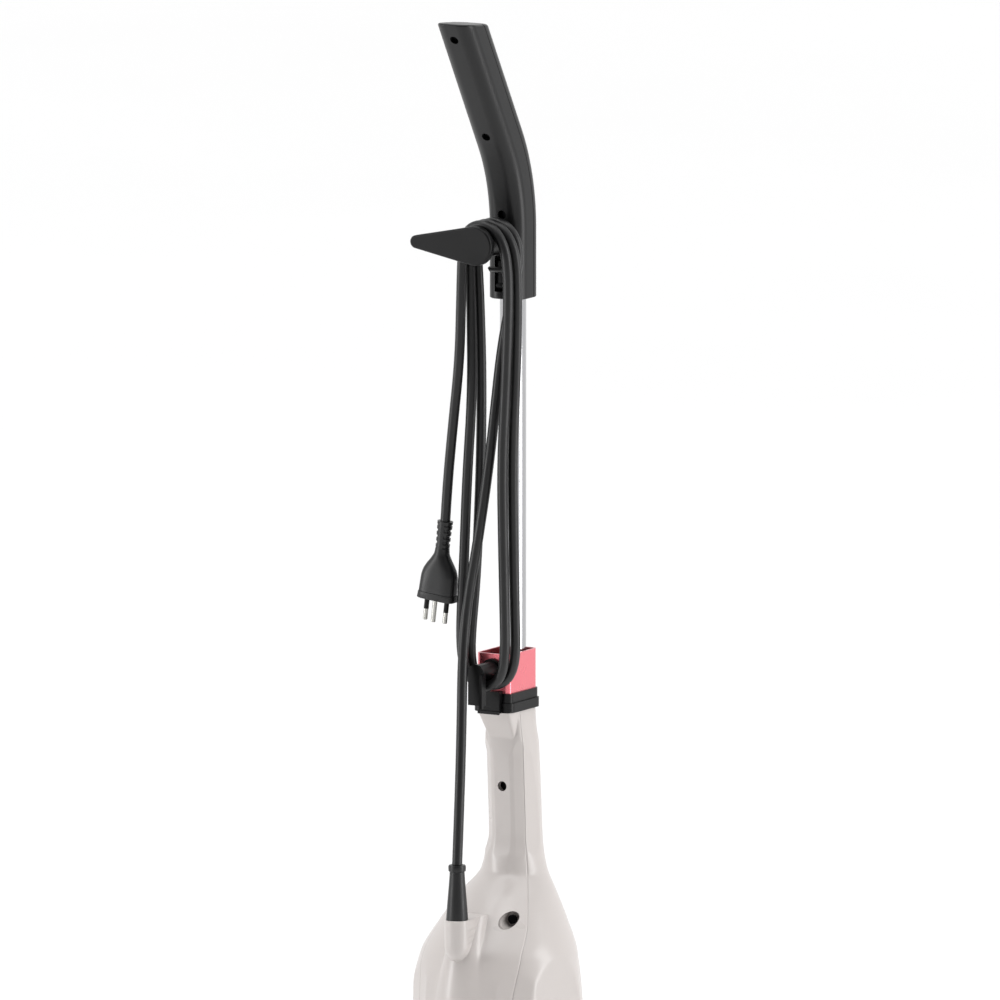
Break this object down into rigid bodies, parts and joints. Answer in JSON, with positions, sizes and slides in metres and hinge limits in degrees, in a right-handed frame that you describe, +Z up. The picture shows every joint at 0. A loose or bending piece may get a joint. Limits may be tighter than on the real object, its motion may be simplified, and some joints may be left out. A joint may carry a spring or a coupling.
{
  "type": "steam mop",
  "caption": "Upright steam mop with a tilting rectangular floor head, bulb-shaped body, steel pole, bent grip and a mains cord wound on two hooks.",
  "frame": {"origin": "on the floor, where the pole's axis meets the underside of the pad", "axes": "+Z up along the pole, +Y towards the user, where the grip leans and the cord hooks point; -Y is the front"},
  "size_m": [0.3, 0.2064, 1.2409],
  "materials": {
    "grip_plastic": "satin",
    "black_plastic": "satin",
    "polished_steel": "polished",
    "red_metallic": "metallic satin",
    "light_grey_plastic": "gloss",
    "smoked_tank": "clear smoked",
    "screw_steel": "zinc plated",
    "cord_pvc": "satin",
    "pin_brass": "nickel plated",
    "boiler_aluminium": "cast",
    "silicone": "matt",
    "copper_alloy": "plain",
    "microfibre": "looped pile",
    "hook_tape": "woven",
    "soft_bumper": "matt",
    "lens_red": "clear",
    "tank_blue_seal": "matt"
  },
  "bodies": {
    "floor_head": {"head_base": "black_plastic", "head_cover": "light_grey_plastic", "head_bumper": "soft_bumper", "head_screws": "screw_steel", "steam_plate": "boiler_aluminium", "hook_and_loop_strips": "hook_tape", "microfibre_pad": "microfibre", "tilt_pin": "screw_steel"},
    "yoke": {"swivel_yoke": "black_plastic", "swivel_pin": "screw_steel"},
    "mop_body": {"neck_sleeve": "black_plastic", "body_front_shell": "light_grey_plastic", "body_rear_panel": "light_grey_plastic", "body_screws": "screw_steel", "tank_bay": "black_plastic", "pole_socket": "black_plastic", "boiler": "boiler_aluminium", "heating_element": "screw_steel", "thermostat": "screw_steel", "thermal_fuse": "silicone", "water_pump": "black_plastic", "pump_bracket": "black_plastic", "terminal_block": "silicone", "cord_clamp": "black_plastic", "water_hose": "silicone", "steam_hose": "silicone", "steam_regulator": "copper_alloy", "power_switch": "black_plastic", "button_spring": "screw_steel", "indicator_lens": "lens_red", "neck_ring": "black_plastic", "collar_liner": "black_plastic", "pole_collar": "red_metallic", "lower_cord_hook": "black_plastic", "hook_bracket": "black_plastic", "pole_tube": "polished_steel", "pole_bush": "black_plastic", "handle_rear_shell": "grip_plastic", "handle_front_shell": "grip_plastic", "handle_screws": "screw_steel", "latch_pin": "screw_steel", "strain_relief": "cord_pvc", "mains_cord": "cord_pvc", "plug_body": "cord_pvc", "plug_pins": "pin_brass", "plug_pin_sleeves": "black_plastic"},
    "cord_hook": {"cord_hook_blade": "black_plastic", "hook_washer": "screw_steel", "hook_screw": "screw_steel"},
    "latch": {"latch_lever": "black_plastic"},
    "tank": {"water_tank": "smoked_tank", "tank_valve": "black_plastic", "tank_cap_seal": "tank_blue_seal"},
    "cap": {"tank_cap": "black_plastic"},
    "steam_dial": {"steam_knob": "black_plastic"},
    "power_key": {"power_button": "red_metallic"},
    "tank_key": {"tank_release_button": "black_plastic"}
  },
  "joints": [
    {"name": "head_tilt", "type": "hinge", "parent": "floor_head", "child": "yoke", "pos_m": [0, 0, 0.046], "axis": [-1, 0, 0], "range_deg": [0, 70]},
    {"name": "head_swivel", "type": "hinge", "parent": "yoke", "child": "mop_body", "pos_m": [0, 0, 0.1], "axis": [0, 1, 0], "range_deg": [-40, 40]},
    {"name": "cord_hook_turn", "type": "hinge", "parent": "mop_body", "child": "cord_hook", "pos_m": [0, 0.04, 1.05], "axis": [0, -1, 0], "range_deg": [-90, 80]},
    {"name": "latch_press", "type": "hinge", "parent": "mop_body", "child": "latch", "pos_m": [0, 0.0142, 1.011], "axis": [-1, 0, 0], "range_deg": [0, 14], "stiffness_Nm_per_rad": 0.02, "springref_deg": -34.38},
    {"name": "tank_pull", "type": "slide", "parent": "mop_body", "child": "tank", "axis": [0, -1, 0], "range_m": [0, 0.08]},
    {"name": "cap_turn", "type": "hinge", "parent": "tank", "child": "cap", "pos_m": [0, -0.0245, 0.384], "axis": [0, 0, 1], "range_deg": [0, 90]},
    {"name": "steam_dial_turn", "type": "hinge", "parent": "mop_body", "child": "steam_dial", "pos_m": [0, -0.05, 0.457], "axis": [0, -1, 0], "range_deg": [-90, 90]},
    {"name": "power_press", "type": "slide", "parent": "mop_body", "child": "power_key", "axis": [0, 1, 0], "range_m": [0, 0.0025], "stiffness_N_per_m": 400, "springref_m": -0.001},
    {"name": "tank_key_press", "type": "slide", "parent": "mop_body", "child": "tank_key", "axis": [0, 1, 0], "range_m": [0, 0.0025], "stiffness_N_per_m": 400, "springref_m": -0.001}
  ]
}
